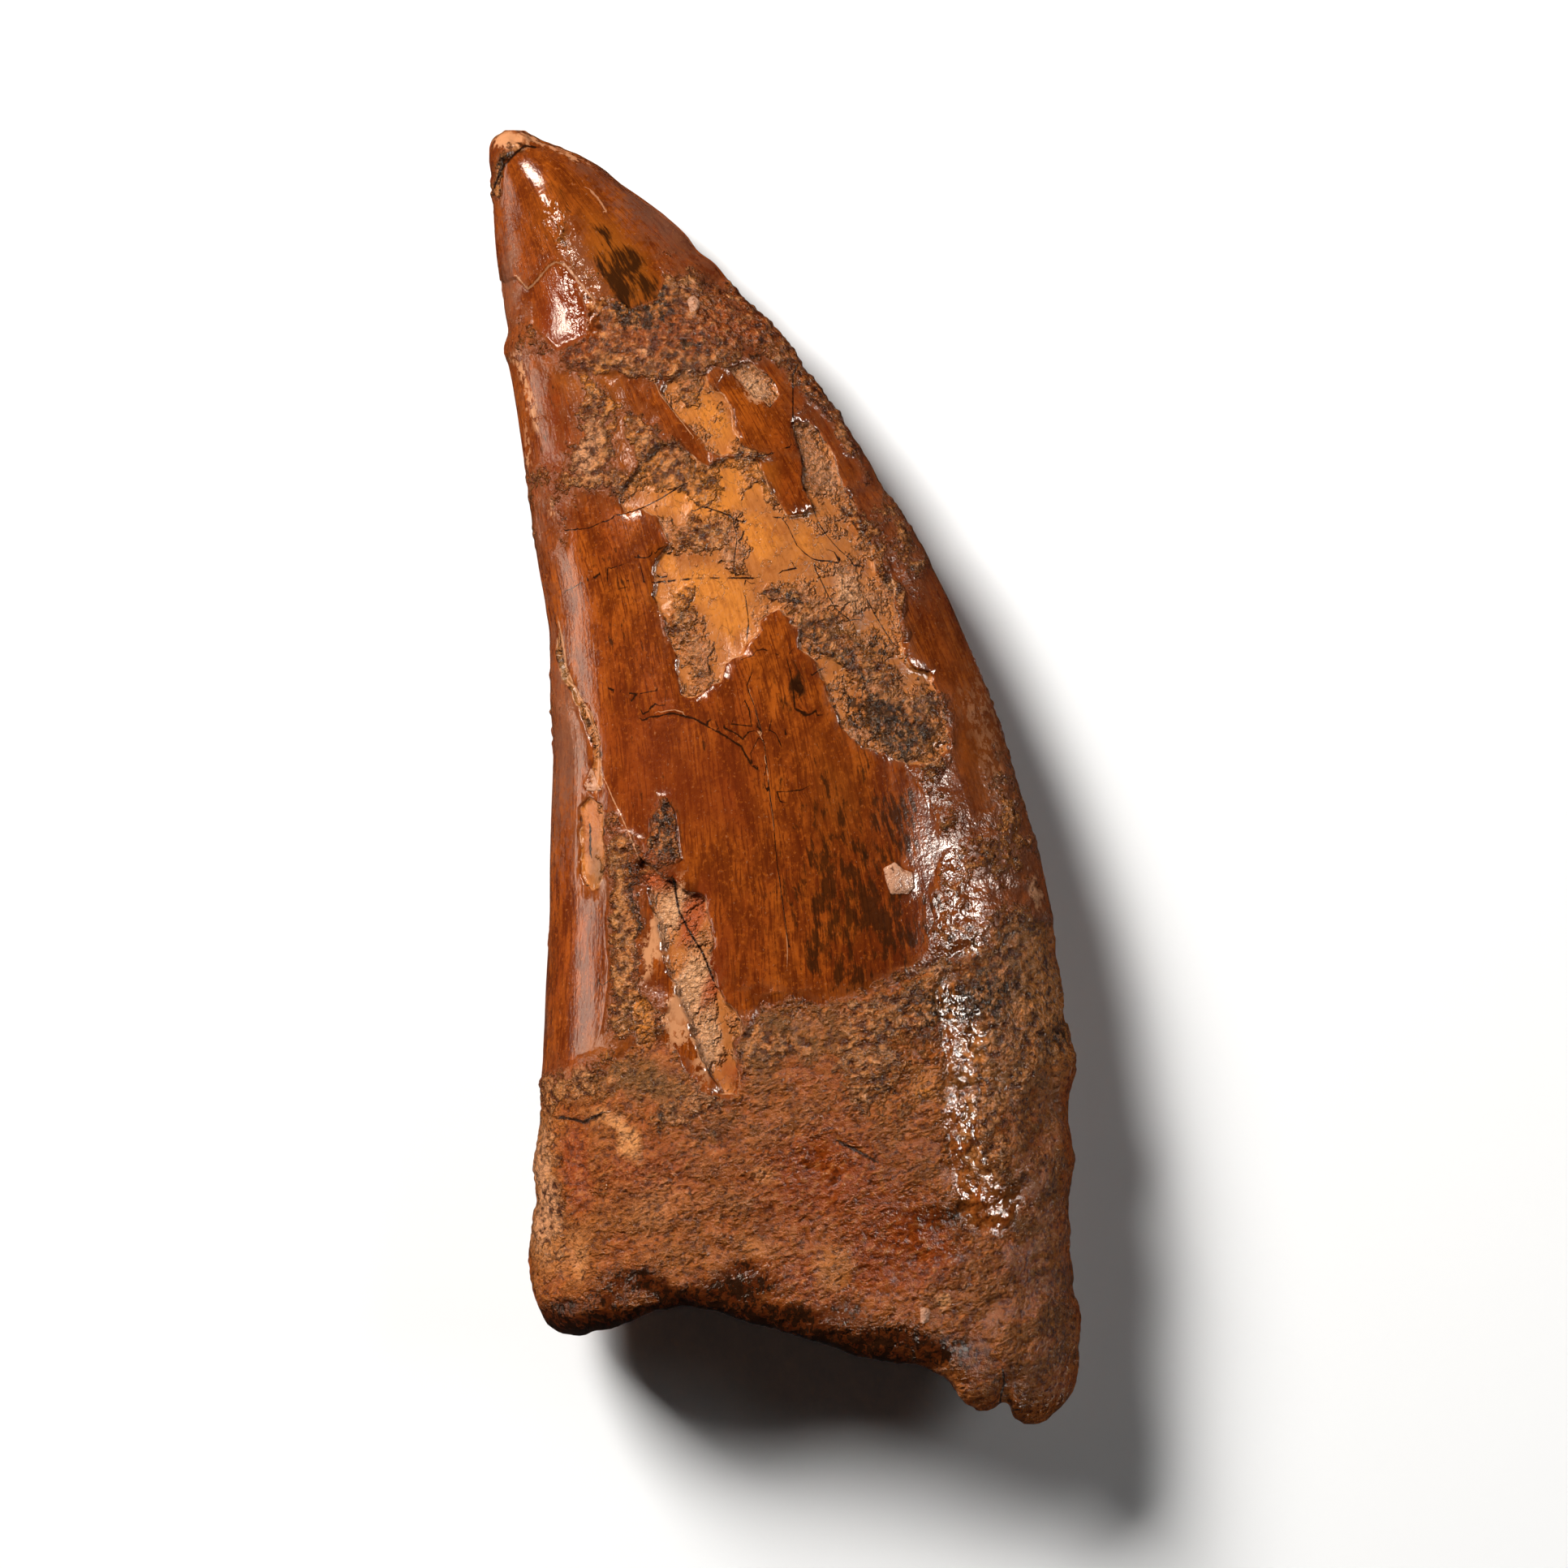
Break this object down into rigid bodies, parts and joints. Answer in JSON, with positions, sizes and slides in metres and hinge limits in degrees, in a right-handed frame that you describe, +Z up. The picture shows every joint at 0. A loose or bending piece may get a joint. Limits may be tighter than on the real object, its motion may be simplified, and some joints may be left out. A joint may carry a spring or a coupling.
{
  "type": "fossil theropod tooth",
  "caption": "Fossil carcharodontosaurus tooth: a long blade-like crown with fine saw edges on a stump of root, lying on its side.",
  "frame": {"origin": "on the resting plane, under the middle of the bounding box of the tooth as it lies", "axes": "+Y from the root towards the tip, +X towards the convex front edge at the root, +Z up from the face that the tooth lies on"},
  "size_m": [0.0406, 0.0888, 0.0168],
  "materials": {
    "fossil_enamel": "mineral-stained enamel with a satin to glossy surface, matt where the enamel is lost and on the root"
  },
  "bodies": {
    "root": {"tooth": "fossil_enamel"}
  },
  "joints": []
}
